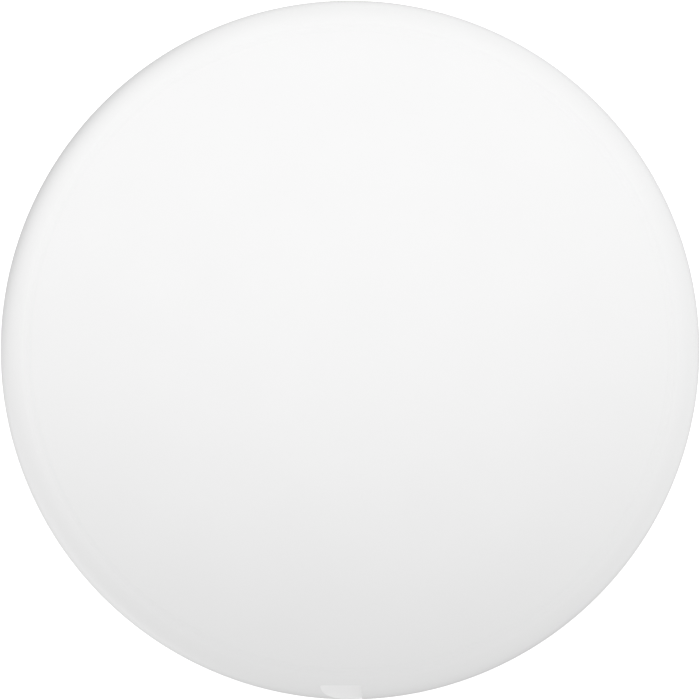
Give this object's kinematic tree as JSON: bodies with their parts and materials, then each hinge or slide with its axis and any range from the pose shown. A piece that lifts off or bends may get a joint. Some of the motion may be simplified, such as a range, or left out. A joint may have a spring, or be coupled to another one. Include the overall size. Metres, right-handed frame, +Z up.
{
  "type": "bluetooth tracker tag",
  "caption": "Round white tracker tag with a domed press-fit battery cover, a pry notch in its rim, and a coin cell, circuit board, sounder and push button inside.",
  "frame": {"origin": "middle of the flat underside, on the surface it lies on", "axes": "+Z up through the middle of the battery cover; -Y towards the pry notch in the cover's rim"},
  "size_m": [0.032, 0.032, 0.008],
  "materials": {
    "white_shell": "satin white moulded plastic, ABS or PC/ABS",
    "frame_plastic": "fine matte black moulded plastic",
    "board_laminate": "green solder mask on glass-epoxy laminate",
    "cell_steel": "bright nickel-plated steel, spun grain",
    "grommet_nylon": "pale translucent nylon",
    "lithium_metal": "dull grey lithium metal",
    "cathode_pellet": "pressed black manganese dioxide",
    "separator_paper": "white porous separator",
    "contact_nickel": "nickel-plated spring steel strip",
    "screw_steel": "zinc-plated steel",
    "seal_silicone": "soft grey silicone",
    "foam_black": "black open-cell foam",
    "polyimide_film": "amber polyimide film",
    "sounder_brass": "rolled brass disc",
    "sounder_ceramic": "silvered piezo ceramic",
    "adhesive_foam": "white double-sided adhesive tape",
    "chip_black": "black moulding compound",
    "crystal_can": "stamped bright metal",
    "antenna_ceramic": "matte white ceramic",
    "capacitor_ceramic": "tan ceramic with tinned ends",
    "resistor_black": "black overglaze on alumina",
    "inductor_ferrite": "dark grey ferrite"
  },
  "bodies": {
    "housing": {"base_shell": "white_shell", "battery_frame": "frame_plastic", "circuit_board": "board_laminate", "insulator_film": "polyimide_film", "frame_screw_1": "screw_steel", "frame_screw_2": "screw_steel", "frame_screw_3": "screw_steel", "negative_contact": "contact_nickel", "positive_contact": "contact_nickel", "bluetooth_chip": "chip_black", "motion_sensor": "chip_black", "buzzer_driver": "chip_black", "chip_antenna": "antenna_ceramic", "matching_inductor": "inductor_ferrite", "matching_capacitor_1": "capacitor_ceramic", "matching_capacitor_2": "capacitor_ceramic", "main_crystal": "crystal_can", "clock_crystal": "crystal_can", "boost_inductor": "inductor_ferrite", "bulk_capacitor_1": "capacitor_ceramic", "bulk_capacitor_2": "capacitor_ceramic", "decoupling_capacitor_1": "capacitor_ceramic", "decoupling_capacitor_2": "capacitor_ceramic", "decoupling_capacitor_3": "capacitor_ceramic", "decoupling_capacitor_4": "capacitor_ceramic", "resistor_1": "resistor_black", "resistor_2": "resistor_black", "resistor_3": "resistor_black", "resistor_4": "resistor_black", "sounder_plate": "sounder_brass", "sounder_ceramic": "sounder_ceramic", "sounder_adhesive": "adhesive_foam", "sounder_spring_1": "screw_steel", "sounder_spring_2": "screw_steel", "switch_body": "chip_black", "switch_plate": "crystal_can", "switch_dome": "crystal_can"},
    "cover": {"battery_cover": "white_shell", "sealing_ring": "seal_silicone", "cover_pad": "foam_black"},
    "cell": {"cell_can": "cell_steel", "cell_cap": "cell_steel", "cell_grommet": "grommet_nylon", "cell_cathode": "cathode_pellet", "cell_separator": "separator_paper", "cell_anode": "lithium_metal"},
    "button": {"function_button": "white_shell", "switch_stem": "chip_black"}
  },
  "joints": [
    {"name": "cover_lift", "type": "slide", "parent": "housing", "child": "cover", "axis": [0, 0, 1], "range_m": [0, 0.022]},
    {"name": "cell_lift", "type": "slide", "parent": "housing", "child": "cell", "axis": [0, 0, 1], "range_m": [0, 0.011]},
    {"name": "button_press", "type": "slide", "parent": "housing", "child": "button", "axis": [0, 0, 1], "range_m": [0, 0.00015], "stiffness_N_per_m": 8000}
  ],
  "couplings": [
    {"joint": "cell_lift", "follows": "cover_lift", "ratio": 0.5}
  ]
}
